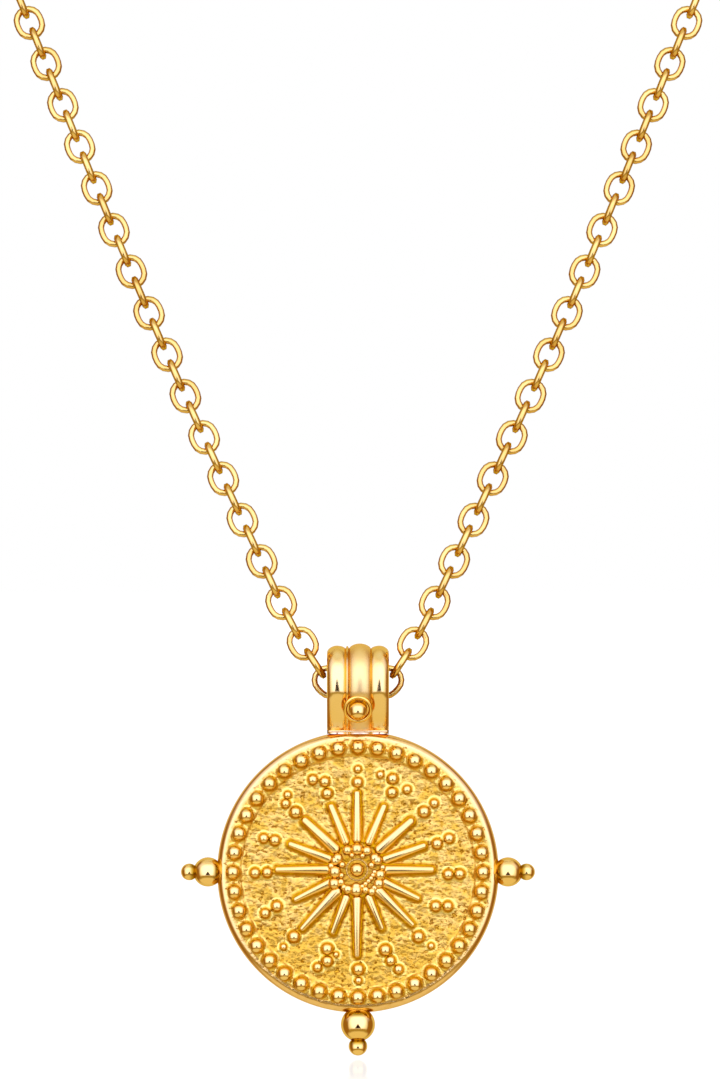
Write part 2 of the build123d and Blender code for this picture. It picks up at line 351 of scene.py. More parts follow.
def joined(name: str, parts: list[Piece]) -> Piece:
    """Join finished parts into one piece.

    Args:
        name: Name of the piece.
        parts: Mesh objects that are used up.

    Returns:
        The joined object.
    """
    start_clean()
    for part in parts:
        part.select_set(True)
    bpy.context.view_layer.objects.active = parts[0]
    bpy.ops.object.join()
    return named(name)


def finish_piece(
    piece: Piece, place: Matrix, material: bpy.types.Material, body: Body, slot: Slot, node: str
) -> None:
    """Bring a finished mesh into the row frame, dress it, parent it to its body's empty and hide
    its CAD node.

    Args:
        piece: Mesh object modelled in millimetres, its object at the origin.
        place: From the modelling frame to the row frame.
        material: Its finish.
        body: Body that it moves with.
        slot: Material slot of the record; not used.
        node: CAD node that it stands for.
    """
    piece.data.transform(place)
    piece.data.materials.clear()
    piece.data.materials.append(material)
    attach(piece, body.value)
    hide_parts(node)
    triangles = sum(len(face.vertices) - 2 for face in piece.data.polygons)
    LOG.info("%s: %d triangles on %s", piece.name, triangles, body.value)


class Sketch:
    """Short way to lay nodes out in a node tree."""

    def __init__(self, tree: Tree) -> None:
        """Keep the tree that the nodes go into."""
        self.tree = tree

    def fill(self, node: bpy.types.Node, inputs: dict[str | int, object]) -> None:
        """Link inputs to sockets, or set them to plain values.

        Args:
            node: Node whose inputs are filled.
            inputs: Socket or value for each input, by the input's name or number.
        """
        for key, value in inputs.items():
            if isinstance(value, Socket):
                self.tree.links.new(value, node.inputs[key])
            else:
                node.inputs[key].default_value = value

    def add(
        self, kind: str, inputs: dict[str | int, object] | None = None, **settings: object
    ) -> bpy.types.Node:
        """Add a node.

        Args:
            kind: Node type.
            inputs: Socket or value for each input that is filled.
            **settings: Properties of the node.

        Returns:
            The node.
        """
        node = self.tree.nodes.new(kind)
        for key, value in settings.items():
            setattr(node, key, value)
        self.fill(node, inputs or {})
        return node

    def math(self, operation: str, *values: object, clamp: bool = False) -> Socket:
        """Math node on sockets or numbers; clamp keeps the result between zero and one."""
        inputs = dict(enumerate(values))
        return self.add("ShaderNodeMath", inputs, operation=operation, use_clamp=clamp).outputs[0]

    def times(self, *values: object) -> Socket:
        """Multiply sockets and numbers.

        Args:
            *values: What is multiplied.

        Returns:
            The product.
        """
        product = values[0]
        for value in values[1:]:
            product = self.math("MULTIPLY", product, value)
        return product

    def step(self, value: object, low: float, high: float) -> Socket:
        """Rise smoothly from zero at low to one at high; a high under low falls instead.

        Args:
            value: Socket or number.
            low: Value at which the result is zero.
            high: Value at which the result is one.

        Returns:
            The result.
        """
        ends = {"From Min": min(low, high), "From Max": max(low, high)}
        ends |= {"To Min": float(low > high), "To Max": float(low <= high), "Value": value}
        return self.add("ShaderNodeMapRange", ends, interpolation_type="SMOOTHSTEP").outputs[0]

    def noise(self, vector: Socket, scale: object, detail: float) -> Socket:
        """Noise on a vector, zero to one, at a scale and with a number of octaves."""
        inputs = {"Vector": vector, "Scale": scale, "Detail": detail}
        return self.add("ShaderNodeTexNoise", inputs).outputs["Fac"]

    def blend(self, share: Socket, first: object, second: object) -> Socket:
        """Mix two colours by the share of the second."""
        inputs = {0: share, 6: first, 7: second}
        return self.add("ShaderNodeMix", inputs, data_type="RGBA").outputs[2]

    def stored(self, name: str) -> Socket:
        """Number that the mesh stores under a name."""
        return self.add("ShaderNodeAttribute", attribute_name=name).outputs["Fac"]

    def feet(self) -> tuple[Socket, Socket]:
        """Painted shade from the stored mark, and painted light where the mark is below zero."""
        near = self.stored(PAINTED_LIGHT_MARK)
        return self.math("MAXIMUM", near, 0.0), self.math("MAXIMUM", self.times(near, -1.0), 0.0)

    def bump(self, height: Socket, strength: float, distance: float) -> Socket:
        """Normal that a height gives."""
        inputs = {"Strength": strength, "Distance": distance, "Height": height}
        return self.add("ShaderNodeBump", inputs).outputs["Normal"]


def new_group(
    name: str, inputs: dict[str, str], outputs: dict[str, str]
) -> tuple[Sketch, bpy.types.bpy_prop_collection, bpy.types.Node]:
    """Start a shader node group.

    Args:
        name: Name of the group.
        inputs: Kind of each input, by its name.
        outputs: Kind of each output, by its name.

    Returns:
        The sketch of the group's tree, what comes in, and the node that takes its results.
    """
    tree = bpy.data.node_groups.new(name, "ShaderNodeTree")
    for way, sockets in (("INPUT", inputs), ("OUTPUT", outputs)):
        for label, kind in sockets.items():
            tree.interface.new_socket(label, in_out=way, socket_type=f"NodeSocket{kind}")
    sketch = Sketch(tree)
    return sketch, sketch.add("NodeGroupInput").outputs, sketch.add("NodeGroupOutput")


def tone_group() -> Tree:
    """Build the group for the slow change of colour over plated gold.

    Returns:
        The group's tree.
    """
    tone_band = (0.30, 0.72)
    sketch, given, made = new_group(
        "plating_tone",
        {"Vector": "Vector", "Scale": "Float", "Pale": "Color", "Deep": "Color"},
        {"Color": "Color"},
    )
    cloud = sketch.noise(given["Vector"], given["Scale"], detail=3.0)
    share = sketch.step(cloud, *tone_band)
    sketch.fill(made, {"Color": sketch.blend(share, given["Pale"], given["Deep"])})
    return sketch.tree


def dint_group() -> Tree:
    """Build the group for a cast field worked with short level dints.

    Returns:
        The group's tree, which puts out how deep each place is, and its tone.
    """
    flatten = (1.0, 1.0, 1.35)
    dint_band, patch_band, pebble_band = (0.57, 0.70), (0.35, 0.65), (0.36, 0.66)
    patch_scale, pebble_scale = 0.16, 0.62
    fewest_dints, roll_depth = 0.25, 0.8
    sketch, given, made = new_group(
        "worked_field",
        {"Vector": "Vector", "Scale": "Float", "Dints": "Float"},
        {"Depth": "Float", "Tone": "Float"},
    )
    vector, scale = given["Vector"], given["Scale"]
    stretch = sketch.add("ShaderNodeMapping", {"Vector": vector, "Scale": flatten})
    dash = sketch.noise(stretch.outputs["Vector"], scale, detail=2.0)
    patch = sketch.noise(vector, sketch.times(scale, patch_scale), detail=2.0)
    share = sketch.step(patch, *patch_band)
    often = sketch.math("MULTIPLY_ADD", share, 1 - fewest_dints, fewest_dints)
    dint = sketch.times(sketch.step(dash, *dint_band), often, given["Dints"])
    pebble = sketch.noise(vector, sketch.times(scale, pebble_scale), detail=3.0)
    depth = sketch.math("MULTIPLY_ADD", dash, roll_depth, dint)
    sketch.fill(made, {"Depth": depth, "Tone": sketch.step(pebble, *pebble_band)})
    return sketch.tree


def polish_group() -> Tree:
    """Build the group for polishing haze and hairline scratches.

    Returns:
        The group's tree, which puts out roughness and height.
    """
    haze_scale = 900.0
    hairline_band = (0.3, 0.75)
    sketch, given, made = new_group(
        "polish",
        {
            "Vector": "Vector", "Stretch": "Vector", "Hairline Scale": "Float",
            "Smooth": "Float", "Rough": "Float",
        },
        {"Roughness": "Float", "Height": "Float"},
    )
    haze = sketch.noise(given["Vector"], haze_scale, detail=2.0)
    brush = {"Vector": given["Vector"], "Scale": given["Stretch"]}
    brushed = sketch.add("ShaderNodeMapping", brush).outputs["Vector"]
    hairline = sketch.noise(brushed, given["Hairline Scale"], detail=4.0)
    share = sketch.times(haze, sketch.step(hairline, *hairline_band))
    spread = sketch.math("SUBTRACT", given["Rough"], given["Smooth"])
    roughness = sketch.math("MULTIPLY_ADD", spread, share, given["Smooth"])
    sketch.fill(made, {"Roughness": roughness, "Height": hairline})
    return sketch.tree


def gold_material(
    name: str, edge_tint: Colour
) -> tuple[bpy.types.Material, Sketch, bpy.types.Node, Socket]:
    """Start a material of bare metal.

    Args:
        name: Name of the material.
        edge_tint: Colour of the metal where it is seen edge on.

    Returns:
        The material, the sketch of its tree, its shader and the Object coordinates.
    """
    made = bpy.data.materials.new(name)
    made.use_nodes = True
    sketch = Sketch(made.node_tree)
    shader = made.node_tree.nodes["Principled BSDF"]
    sketch.fill(shader, {"Metallic": 1.0, "Specular Tint": edge_tint})
    return made, sketch, shader, sketch.add("ShaderNodeTexCoord").outputs["Object"]


@dataclass(frozen=True)
class GoldFinish:
    """One finish of plated gold; colours are linear, scales are per metre."""

    name: str
    pale: Colour = (0.92, 0.585, 0.125, 1.0)
    deep: Colour = (0.89, 0.545, 0.095, 1.0)
    # Painted shade where a piece runs into another, and a painted light tone where the mark is
    # below zero: paler on the bail's leg ends and plate, a more saturated gold on the bead's collar
    # and dish
    painted_shade: Colour = (0.42, 0.21, 0.006, 1.0)
    painted_light_tone: Colour = (0.95, 0.53, 0.055, 1.0)
    edge_tint: Colour = (0.95, 0.76, 0.40, 1.0)
    tone_scale: float = 260.0
    smooth: float = 0.07
    rough: float = 0.20
    stretch: tuple[float, float, float] = (1.0, 1.0, 0.12)
    hairline_scale: float = 9000.0
    hairline_depth: float = 0.00001
    bump_strength: float = 0.10
    # Band that is left satin: its middle and half width across the piece, the share of the half
    # width that is satin all over, and the roughness added
    satin_middle: float = 0.0
    satin_half: float = 0.0
    satin_core: float = 0.8
    satin: float = 0.0

    def material(self, tone: Tree, polish: Tree) -> bpy.types.Material:
        """Build the finish's material.

        Args:
            tone: The plating_tone group.
            polish: The polish group.

        Returns:
            The material.
        """
        made, sketch, shader, place = gold_material(self.name, self.edge_tint)
        plating = {"Vector": place, "Scale": self.tone_scale, "Pale": self.pale, "Deep": self.deep}
        colour = sketch.add("ShaderNodeGroup", plating, node_tree=tone).outputs["Color"]
        # Painted shade where the mark is over zero, and the painted light tone where it is under
        # zero
        foot, edge = sketch.feet()
        tint = sketch.blend(foot, colour, self.painted_shade)
        buffing = {
            "Vector": place, "Stretch": self.stretch, "Hairline Scale": self.hairline_scale,
            "Smooth": self.smooth, "Rough": self.rough,
        }
        surface = sketch.add("ShaderNodeGroup", buffing, node_tree=polish).outputs
        roughness = surface["Roughness"]
        if self.satin:
            across = sketch.add("ShaderNodeSeparateXYZ", {0: place}).outputs["X"]
            off = sketch.math("ABSOLUTE", sketch.math("SUBTRACT", across, self.satin_middle))
            band = sketch.step(off, self.satin_half, self.satin_half * self.satin_core)
            roughness = sketch.math("MULTIPLY_ADD", band, self.satin, roughness)
        dressed = {
            "Base Color": sketch.blend(edge, tint, self.painted_light_tone),
            "Roughness": roughness,
            "Normal": sketch.bump(surface["Height"], self.bump_strength, self.hairline_depth),
        }
        sketch.fill(shader, dressed)
        return made


@dataclass(frozen=True)
class FieldFinish:
    """Satin cast ground with dints, with painted shade where the relief meets it, in the dints and
    towards the bottom, and a painted highlight round the relief.
    """

    name: str = "hammered_field_gold"
    ground: Colour = (0.86, 0.49, 0.062, 1.0)
    # Darker ground tone, for the random tone and for the painted shade towards the bottom
    low_ground_and_shade: Colour = (0.73, 0.37, 0.022, 1.0)
    # Painted shade where the relief meets the ground, and a painted highlight round it
    painted_shade: Colour = (0.55, 0.232, 0.0, 1.0)
    painted_halo: Colour = (0.97, 0.70, 0.10, 1.0)
    polished: Colour = (0.90, 0.55, 0.13, 1.0)
    edge_tint: Colour = (0.95, 0.76, 0.44, 1.0)
    roughness: float = 0.34
    rim_roughness: float = 0.10
    rim_hairlines: float = 9000.0
    dint_scale: float = 2200.0
    dint_depth: float = 0.00011
    # Strength of the painted shade in the dints
    dint_shade: float = 0.60
    # The depths between which the dints' painted shade sets in
    shade_from_to: tuple[float, float] = (0.3, 1.0)
    # Painted shade: the ground is darker towards the bottom, between these heights in the row frame
    painted_shade_heights: tuple[float, float] = (-0.1370, -0.1445)
    painted_shade_share: float = 0.75

    def material(self, dints: Tree, polish: Tree) -> bpy.types.Material:
        """Build the ground's material; it reads the disc's own painted shade mark and ground
        attributes.

        Args:
            dints: The worked_field group.
            polish: The polish group.

        Returns:
            The material.
        """
        made, sketch, shader, place = gold_material(self.name, self.edge_tint)
        # Painted shade near the relief's feet, and the painted highlight round them
        foot, painted_halo = sketch.feet()
        ground = sketch.stored(GROUND)
        clear = sketch.math("SUBTRACT", 1.0, sketch.math("ADD", foot, painted_halo), clamp=True)
        work = {"Vector": place, "Scale": self.dint_scale, "Dints": sketch.times(ground, clear)}
        worked = sketch.add("ShaderNodeGroup", work, node_tree=dints).outputs
        height = sketch.add("ShaderNodeSeparateXYZ", {0: place}).outputs["Z"]
        # Painted shade: darker towards the bottom
        lower = sketch.step(height, *self.painted_shade_heights)
        share = sketch.math("MULTIPLY_ADD", lower, self.painted_shade_share, worked["Tone"], clamp=True)
        colour = sketch.blend(share, self.ground, self.low_ground_and_shade)
        colour = sketch.blend(ground, self.polished, colour)
        # Painted shade in the dints and near the relief's feet
        dark = sketch.times(sketch.step(worked["Depth"], *self.shade_from_to), self.dint_shade)
        colour = sketch.blend(sketch.math("MAXIMUM", foot, dark), colour, self.painted_shade)
        buffing = {
            "Vector": place, "Stretch": (1.0, 1.0, 1.0), "Hairline Scale": self.rim_hairlines,
            "Smooth": self.rim_roughness, "Rough": self.rim_roughness * 2,
        }
        rim = sketch.add("ShaderNodeGroup", buffing, node_tree=polish).outputs["Roughness"]
        spread = sketch.times(ground, self.roughness - self.rim_roughness)
        relief = sketch.times(worked["Depth"], sketch.times(ground, -1.0))
        dressed = {
            "Base Color": sketch.blend(painted_halo, colour, self.painted_halo),
            "Roughness": sketch.math("ADD", rim, spread),
            "Normal": sketch.bump(relief, 1.0, self.dint_depth),
        }
        sketch.fill(shader, dressed)
        return made


@dataclass(frozen=True)
class Finishes:
    """The finishes of all pieces."""

    polished: GoldFinish = GoldFinish("polished_gold")
    rays: GoldFinish = GoldFinish("soft_polished_ray_gold", smooth=0.16, rough=0.30)
    brushed: GoldFinish = GoldFinish(
        "brushed_bail_gold",
        pale=(0.92, 0.595, 0.138, 1.0),
        deep=(0.89, 0.56, 0.11, 1.0),
        # Painted shade in the bail's grooves, and a paler painted tone on its leg ends and plate
        painted_shade=(0.52, 0.27, 0.03, 1.0),
        painted_light_tone=(0.92, 0.64, 0.23, 1.0),
        smooth=0.15,
        rough=0.22,
        stretch=(0.05, 1.0, 1.0),
        hairline_scale=6000.0,
        bump_strength=0.05,
        satin_middle=0.00016,
        satin_half=0.00090,
        satin=0.22,
    )
    field: FieldFinish = FieldFinish()
    wire: GoldFinish = GoldFinish(
        "chain_wire_gold",
        pale=(0.82, 0.50, 0.085, 1.0),
        deep=(0.72, 0.40, 0.055, 1.0),
        edge_tint=(0.56, 0.35, 0.12, 1.0),
        smooth=0.16,
        rough=0.28,
        bump_strength=0.0,
    )
    plain: GoldFinish = GoldFinish(
        "clasp_gold_plain", pale=(0.93, 0.59, 0.20, 1.0), smooth=0.10, rough=0.26
    )


@dataclass
class Relief:
    """Where the cast relief sits on the disc; lengths in millimetres on the bench."""

    field_radius: float = 9.05
    field_height: float = 0.50
    seat_height: float = 0.63
    border_radius: float = 9.77
    border_count: int = 40
    border_ball: float = 0.565
    border_lift: float = 0.12
    granule_ball: float = 0.47
    granule_lift: float = 0.10
    star_place: tuple[float, float] = (-0.07, 0.20)
    ray_start: float = 2.35
    ray_reach: float = 6.30
    ray_width: float = 0.79
    boss_radius: float = 2.25
    boss_rise: float = 0.22
    # Ray columns: angle clockwise from the top, share of ray_reach, root and tip in ray widths
    rays: tuple[tuple[float, float, float, float], ...] = (
        (0.0, 0.99, 1.05, 0.76), (23.2, 0.89, 0.95, 0.72), (48.0, 0.95, 1.12, 0.90),
        (70.3, 0.92, 0.98, 0.74), (90.0, 0.97, 1.02, 0.80), (115.3, 0.87, 1.02, 0.62),
        (134.8, 1.00, 1.18, 0.62), (157.1, 0.82, 0.95, 0.66), (180.0, 1.10, 1.08, 0.66),
        (201.1, 0.87, 0.95, 0.68), (222.9, 1.035, 1.22, 0.66), (244.1, 0.88, 1.02, 0.62),
        (270.0, 1.03, 1.02, 0.74), (290.9, 0.924, 0.98, 0.74), (313.3, 0.94, 1.16, 0.90),
        (337.7, 0.89, 0.95, 0.74),
    )
    # Granule columns: angle, share of border_radius, share of granule_ball
    granules: tuple[tuple[float, float, float], ...] = (
        (12.9, 0.800, 0.67), (20.4, 0.797, 0.96), (23.1, 0.693, 0.96), (30.7, 0.769, 0.79),
        (47.6, 0.716, 1.04), (47.9, 0.822, 0.79),
        (69.6, 0.777, 0.92), (70.3, 0.673, 0.96),
        (91.0, 0.813, 0.92), (91.4, 0.722, 0.92),
        (110.7, 0.768, 0.92), (113.6, 0.678, 0.96),
        (135.2, 0.830, 0.58), (136.8, 0.707, 1.04),
        (157.3, 0.841, 0.83), (159.8, 0.753, 0.88), (160.6, 0.659, 1.04),
        (179.7, 0.776, 1.04), (179.7, 0.865, 0.62),
        (194.9, 0.681, 0.50), (199.0, 0.751, 0.96), (201.8, 0.660, 1.04), (203.0, 0.824, 0.79),
        (224.8, 0.725, 1.04), (224.9, 0.842, 0.58),
        (246.1, 0.810, 0.88), (247.3, 0.702, 0.96),
        (269.6, 0.822, 0.92), (269.9, 0.725, 0.92),
        (289.8, 0.800, 0.88), (291.0, 0.711, 0.96),
        (313.5, 0.796, 0.83), (313.9, 0.691, 1.04), (317.7, 0.835, 0.71),
        (334.0, 0.823, 0.92), (338.7, 0.675, 0.96), (339.9, 0.770, 0.92),
        (359.9, 0.719, 0.92), (359.9, 0.824, 0.67),
    )

    def border_balls(self) -> list[tuple[Vector, float]]:
        """Place the border beads.

        Returns:
            Centre and radius of each.
        """
        step, height = 360 / self.border_count, self.seat_height + self.border_lift
        centres = [around(step * k, self.border_radius, height) for k in range(self.border_count)]
        return [(centre, self.border_ball) for centre in centres]

    def granule_balls(self) -> list[tuple[Vector, float]]:
        """Place the granules.

        Returns:
            Centre and radius of each.
        """
        balls = []
        for angle, out, size in self.granules:
            height = self.field_height + self.granule_lift * size
            centre = around(angle, out * self.border_radius, height)
            balls.append((centre, size * self.granule_ball))
        return balls

    def ray_lines(self) -> list[tuple[Vector, Vector, float, float]]:
        """Place the rays.

        Returns:
            Root, tip, root radius and tip radius of each.
        """
        shift = Vector((*self.star_place, 0.0))
        half = self.ray_width / 2
        lines = []
        for angle, share, root, tip in self.rays:
            first = around(angle, self.ray_start, self.field_height) + shift
            last = around(angle, self.ray_reach * share - tip * half, self.field_height) + shift
            lines.append((first, last, root * half, tip * half))
        return lines


@dataclass
class Disc:
    """Turned disc with its hammered field and the fillets that its relief stands in."""

    relief: Relief
    radius: float = 11.0
    back_depth: float = 0.70
    edge_round: float = 0.30
    shoulder_round: float = 0.78
    steps: int = 640
    ring_step: float = 0.10
    inner_radius: float = 1.60
    # Height and width of the metal that runs up to a foot, a bead's for one of skirt_ball
    bead_skirt: tuple[float, float] = (0.17, 0.30)
    granule_skirt: tuple[float, float] = (0.13, 0.24)
    ray_skirt: tuple[float, float] = (0.16, 0.26)
    boss_skirt_width: float = 0.5
    skirt_ball: float = 0.5
    skirt_power: float = 1.7
    # How far the painted shade reaches from a foot, and how strong it is round the boss
    ball_shade: float = 0.13
    ray_shade: float = 0.30
    boss_reach: float = 0.30
    boss_shade: float = 0.78
    # The painted highlight round a foot: its distance, its half width and its strength
    halo_reach: float = 0.17
    halo_width: float = 0.11
    ray_halo_reach: float = 0.32
    ray_halo_width: float = 0.12
    ray_halo: float = 0.45
    back_share: float = 0.40
    ground_end: float = 10.62
    ground_fade: float = 0.40
    seat_step: float = 0.18
    seat_share: float = 0.25
    calm_edge: float = 0.25
    dash_depth: float = 0.026
    roll_depth: float = 0.044
    grain_depth: float = 0.022
    # The noise at which a dash is a full dint, and at which it is none
    dint_band: tuple[float, float] = (0.35, 0.10)

    def profile(self) -> list[tuple[float, float]]:
        """Draw the disc's outline.

        Returns:
            Radius and height of each corner, from the back's pole to the face's.
        """
        relief = self.relief
        shoulder = self.radius - self.shoulder_round
        corner = (self.radius - self.edge_round, self.edge_round - self.back_depth)
        outline = [(self.radius * k / 4, -self.back_depth) for k in range(4)]
        outline += arc(corner, self.edge_round, -90, 0, 6)
        crown = (shoulder, relief.seat_height - self.shoulder_round)
        outline += arc(crown, self.shoulder_round, 0, 90, 12)
        rings = int((shoulder - self.inner_radius) / self.ring_step)
        for k in range(1, rings + 1):
            inwards = (self.inner_radius - shoulder) * k / rings
            outline.append((shoulder + inwards, relief.seat_height))
        return outline + [(0.0, relief.field_height)]

    def build(self) -> Piece:
        """Turn the disc and raise its relief.

        Returns:
            The disc on the bench.
        """
        disc = turned("medallion_disc", self.profile(), self.steps)
        mesh = disc.data
        co = vertex_places(mesh)
        out = np.hypot(co[:, 0], co[:, 1])
        front = co[:, 2] > 0
        face = front & (out <= self.radius - self.shoulder_round + 1e-3)
        back = (co[:, 2] < 1e-3 - self.back_depth) & (out < self.radius - self.edge_round + 1e-3)
        foot, ground = np.zeros(len(out)), np.zeros(len(out))
        co[face, 2], foot[face] = self.surface(co[face, 0], co[face, 1])
        ground[front] = np.clip((self.ground_end - out[front]) / self.ground_fade, 0, 1)
        ground[back] = self.back_share
        mesh.vertices.foreach_set("co", co.ravel())
        store(mesh, PAINTED_LIGHT_MARK, foot)
        store(mesh, GROUND, ground)
        mesh.update()
        smooth(disc, angle=60)
        return disc

    def surface(self, x: np.ndarray, y: np.ndarray) -> tuple[np.ndarray, np.ndarray]:
        """Height of the face at each point, and its painted shade near a foot.

        Args:
            x: Points' places to the right.
            y: Points' places towards the bail.

        Returns:
            The heights, and the painted shade near a foot, with its painted highlight as less than
            zero.
        """
        relief = self.relief
        out = np.hypot(x, y)
        rise = fall(out, relief.field_radius + self.seat_step, relief.field_radius)
        base = relief.field_height + (relief.seat_height - relief.field_height) * rise
        inside = np.clip((self.radius - self.shoulder_round - out) / self.calm_edge, 0, 1)
        calm = inside * (1 - (1 - self.seat_share) * rise)
        # Painted shade near each foot, and a painted highlight round it
        skirt, foot, painted_halo = np.zeros_like(x), np.zeros_like(x), np.zeros_like(x)
        for balls, (height, width) in (
            (relief.border_balls(), self.bead_skirt),
            (relief.granule_balls(), self.granule_skirt),
        ):
            for centre, radius in balls:
                reach = np.hypot(x - centre.x, y - centre.y) - radius
                tall = height * radius / self.skirt_ball
                skirt = np.maximum(skirt, self.fillet(reach, tall, width))
                foot = np.maximum(foot, fall(reach, 0.0, self.ball_shade))
                edge = np.abs(reach - self.halo_reach)
                painted_halo = np.maximum(painted_halo, fall(edge, 0.0, self.halo_width))
        for first, last, root, tip in relief.ray_lines():
            run = np.array((last - first).xy)
            along = ((x - first.x) * run[0] + (y - first.y) * run[1]) / (run @ run)
            along = np.clip(along, 0, 1)
            radius = root + (tip - root) * along
            reach = np.hypot(x - first.x - along * run[0], y - first.y - along * run[1]) - radius
            skirt = np.maximum(skirt, self.fillet(reach, *self.ray_skirt))
            foot = np.maximum(foot, fall(reach, 0.0, self.ray_shade))
            edge = np.abs(reach - self.ray_halo_reach)
            painted_halo = np.maximum(painted_halo, self.ray_halo * fall(edge, 0.0, self.ray_halo_width))
        boss = np.hypot(x - relief.star_place[0], y - relief.star_place[1]) - relief.boss_radius
        skirt = np.maximum(skirt, self.fillet(boss, relief.boss_rise, self.boss_skirt_width))
        foot = np.maximum(foot, self.boss_shade * fall(boss, 0.0, self.boss_reach))
        return base + skirt + calm * self.hammering(x, y), foot - painted_halo * (1 - foot)

    def fillet(self, reach: np.ndarray, height: float, width: float) -> np.ndarray:
        """Height of the metal that runs up to a foot, by the distance from it."""
        return height * np.clip(1 - reach / width, 0, 1) ** self.skirt_power

    def hammering(self, x: np.ndarray, y: np.ndarray) -> np.ndarray:
        """Short level dints, slow rolls and fine grain of the field.

        Args:
            x: Points' places to the right.
            y: Points' places towards the bail.

        Returns:
            The height added at each point.
        """
        # Columns: waves per millimetre across and up, and the layer of noise
        waves = ((2.4, 3.6, 3.1), (1.3, 1.5, 7.7), (4.5, 5.5, 1.3))
        dash, roll, grain = (
            np.array([noise.noise(Vector((a * across, b * up, layer))) for a, b in zip(x, y)])
            for across, up, layer in waves
        )
        dint = fall(dash, *self.dint_band)
        return self.roll_depth * roll + self.grain_depth * grain - self.dash_depth * dint


@dataclass
class Relievos:
    """The raised ornament: border beads, rays, rosette, granules and rim nubs."""

    relief: Relief
    # Wreath columns: place across, place up and radius, in millimetres from the star's centre
    wreath: tuple[tuple[float, float, float], ...] = (
        (0.0, 1.61, 0.37), (-0.75, 1.53, 0.29), (0.77, 1.48, 0.29), (-1.50, 0.90, 0.31),
        (-1.68, 0.72, 0.29), (1.38, 0.92, 0.30), (1.58, 0.74, 0.30), (-1.73, -0.16, 0.38),
        (1.81, -0.39, 0.33), (1.70, -1.08, 0.32), (-1.78, -1.08, 0.36), (-1.27, -0.97, 0.24),
        (-0.72, -1.52, 0.29), (-0.06, -1.60, 0.37), (-0.06, -1.36, 0.30), (1.16, -1.70, 0.25),
        (-0.40, 1.14, 0.17), (0.42, 1.10, 0.17), (-1.02, -1.36, 0.20), (0.40, -1.30, 0.16),
        (0.66, -1.10, 0.16), (0.89, -0.88, 0.16), (1.09, -0.66, 0.16), (1.24, -0.42, 0.16),
        (1.36, -0.18, 0.16), (-1.16, 0.40, 0.20), (-1.22, -0.44, 0.18), (1.12, 0.36, 0.20),
        (0.66, -1.56, 0.22), (-2.02, 0.30, 0.20), (2.00, 0.18, 0.18), (1.36, -1.42, 0.20),
    )
    ray_flatness: float = 1.06
    centre_ball: float = 0.56
    wreath_lift: float = 0.14
    wreath_swell: float = 1.34
    # Where the painted shade at a foot is full and where it ends: up a wreath bead, and from a
    # nub's joint
    wreath_painted_shade: tuple[float, float] = (-0.1, 0.50)
    nub_painted_shade: tuple[float, float] = (0.05, 0.34)
    rope_radius: float = 0.82
    rope_wire: float = 0.08
    rope_sink: float = 0.045
    rope_turns: int = 22
    rope_swell: float = 0.20
    # Painted shade over the whole rope ring
    rope_shade: float = 0.6
    side_ball: float = 1.15
    side_tip: float = 0.66
    bottom_ball: float = 1.34
    bottom_tip: float = 0.73
    nub_sink: float = 0.43
    tip_sink: float = 0.36
    disc_radius: float = 11.0

    def beads(
        self, name: str, balls: list[tuple[Vector, float]], segments: int, rings: int
    ) -> Piece:
        """Set balls on the disc.

        Args:
            name: Name of the piece.
            balls: Centre and radius of each.
            segments: Segments round each ball.
            rings: Rings of each ball from pole to pole.

        Returns:
            The balls as one piece.
        """
        pattern = ball(f"{name}_pattern", segments, rings)
        made = gathered(name, pattern, [at(*centre, radius) for centre, radius in balls])
        smooth(made, angle=40)
        return made

    def star(self) -> Piece:
        """Build sixteen tapered rays with rounded ends.

        Returns:
            The rays as one piece.
        """
        rays = []
        for k, (first, last, root, tip) in enumerate(self.relief.ray_lines()):
            run = last - first
            ray = ball(f"ray_{k}", segments=20, rings=14)
            for half, size in ((lambda p: p.x < 1e-4, root), (lambda p: p.x > 1e-4, tip)):
                sizes = (size, size, size * self.ray_flatness)
                edit(ray, bpy.ops.transform.resize, half, value=sizes, center_override=ORIGIN)
            edit(ray, bpy.ops.transform.translate, lambda p: p.x > 1e-4, value=(run.length, 0, 0))
            turn = Matrix.Rotation(math.atan2(run.y, run.x), 4, "Z")
            ray.data.transform(Matrix.Translation(first) @ turn)
            rays.append(ray)
        made = joined("star_rays", rays)
        smooth(made, angle=50)
        return made

    def rosette(self) -> Piece:
        """Build the ball in its twisted wire ring, with a wreath of small beads round it.

        Returns:
            The rosette as one piece.
        """
        top = self.relief.field_height + self.relief.boss_rise
        right, up = self.relief.star_place
        lift = top + self.wreath_lift
        pattern = ball("wreath_bead_pattern", segments=18, rings=12)
        mark_painted_light(pattern, lambda p: fall(p.z, *self.wreath_painted_shade))
        places = [
            at(x + right, y + up, lift, size * self.wreath_swell) for x, y, size in self.wreath
        ]
        beads = gathered("wreath_beads", pattern, places + [at(right, up, lift, self.centre_ball)])
        rope = torus("rope_ring", self.rope_radius, self.rope_wire, steps=132, wire_steps=12)
        for vertex in rope.data.vertices:
            turn = math.atan2(vertex.co.y, vertex.co.x)
            core = Vector((math.cos(turn), math.sin(turn), 0.0)) * self.rope_radius
            arm = vertex.co - core
            round_wire = math.atan2(arm.z, arm.dot(core.normalized()))
            strand = math.cos(self.rope_turns * turn + 2 * round_wire)
            vertex.co = core + arm * (1 + self.rope_swell * strand)
        mark_painted_light(rope, lambda p: self.rope_shade)
        rope.data.transform(Matrix.Translation((right, up, top - self.rope_sink)))
        made = joined("rosette", [beads, rope])
        smooth(made, angle=60)
        return made

